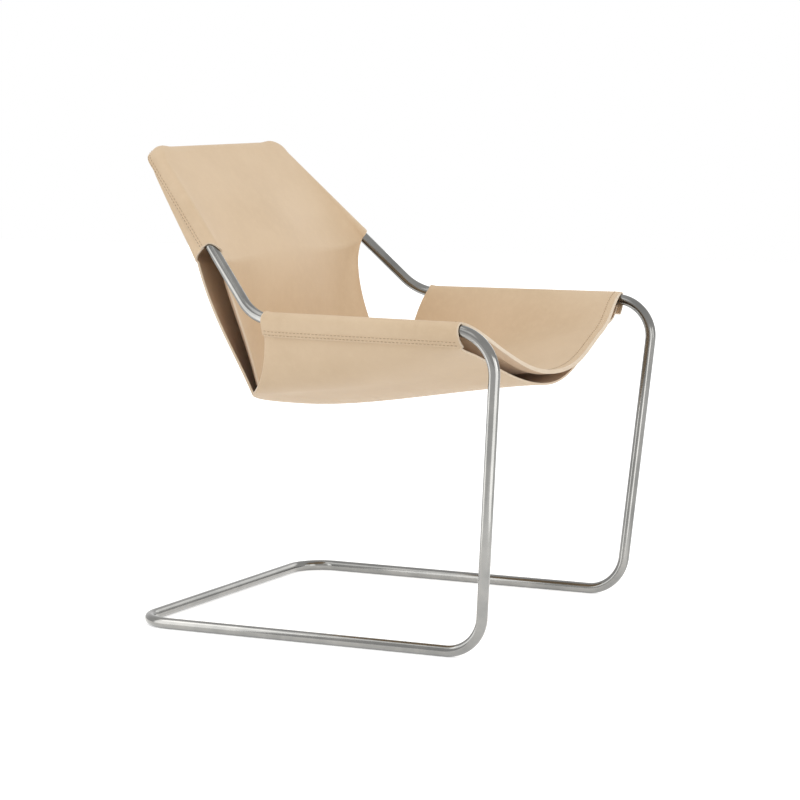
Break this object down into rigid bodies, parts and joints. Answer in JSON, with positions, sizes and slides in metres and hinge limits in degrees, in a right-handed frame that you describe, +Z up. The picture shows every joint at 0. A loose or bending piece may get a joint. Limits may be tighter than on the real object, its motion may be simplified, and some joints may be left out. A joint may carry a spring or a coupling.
{
  "type": "sling armchair",
  "caption": "Cantilever lounge chair: a leather sling seat and back hung over a bent round steel bar frame, with the bar's arms and floor runners left bare at the bends.",
  "frame": {"origin": "on the floor at the middle of the chair's bounding box, so its left and right halves mirror each other across X = 0", "axes": "+Z up, -Y the way the sitter faces, +X to the sitter's left"},
  "size_m": [0.72, 0.7258, 0.819],
  "materials": {
    "bar": "satin",
    "leather": "matte natural",
    "thread": "waxed thread"
  },
  "bodies": {
    "root": {"rear_floor_bar": "bar", "runner_left": "bar", "runner_right": "bar", "front_leg_left": "bar", "front_leg_right": "bar", "arm_left": "bar", "arm_right": "bar", "post_left": "bar", "post_right": "bar", "top_bar": "bar", "rear_corner_left": "bar", "rear_corner_right": "bar", "foot_bend_left": "bar", "foot_bend_right": "bar", "arm_bend_left": "bar", "arm_bend_right": "bar", "post_bend_left": "bar", "post_bend_right": "bar", "top_corner_left": "bar", "top_corner_right": "bar", "inner_panel": "leather", "outer_panel": "leather", "arm_stitching_left": "thread", "arm_stitching_right": "thread", "post_stitching_left": "thread", "post_stitching_right": "thread", "top_stitching": "thread", "hem_stitching": "thread"}
  },
  "joints": []
}
